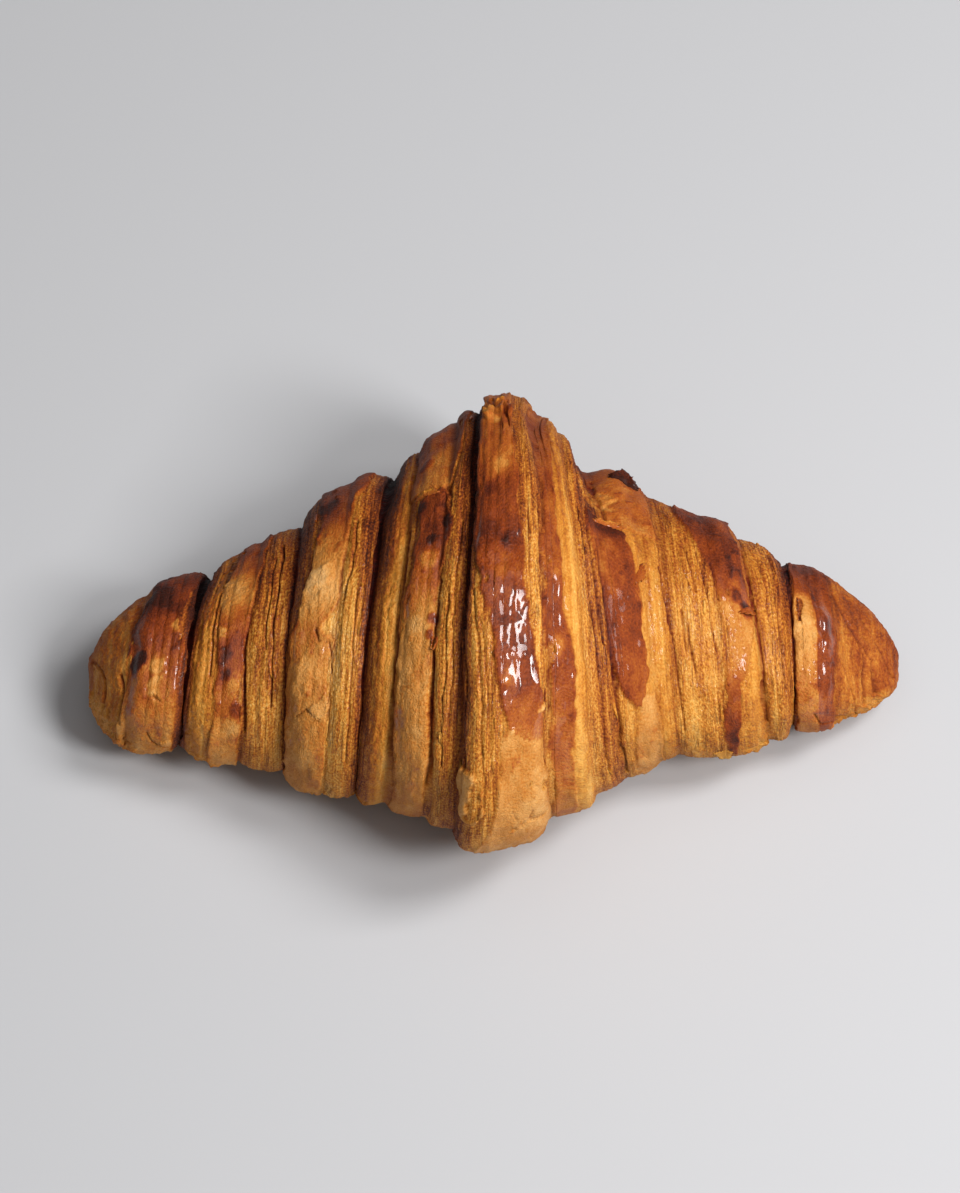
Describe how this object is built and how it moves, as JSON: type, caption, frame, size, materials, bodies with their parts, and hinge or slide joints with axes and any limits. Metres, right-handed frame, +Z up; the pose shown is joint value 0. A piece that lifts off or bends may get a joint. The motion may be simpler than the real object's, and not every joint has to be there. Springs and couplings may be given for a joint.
{
  "type": "croissant",
  "caption": "Straight butter croissant of laminated dough rolled into tapering wraps, browned and glazed, with blunt tips and a flat baked foot.",
  "frame": {"origin": "on the surface the croissant lies on, under the middle of its bounding box", "axes": "+X along the roll to its right tip, -Y towards the front, +Z up"},
  "size_m": [0.15, 0.0886, 0.0584],
  "materials": {
    "baked_crust": "satin"
  },
  "bodies": {
    "root": {"croissant": "baked_crust"}
  },
  "joints": []
}
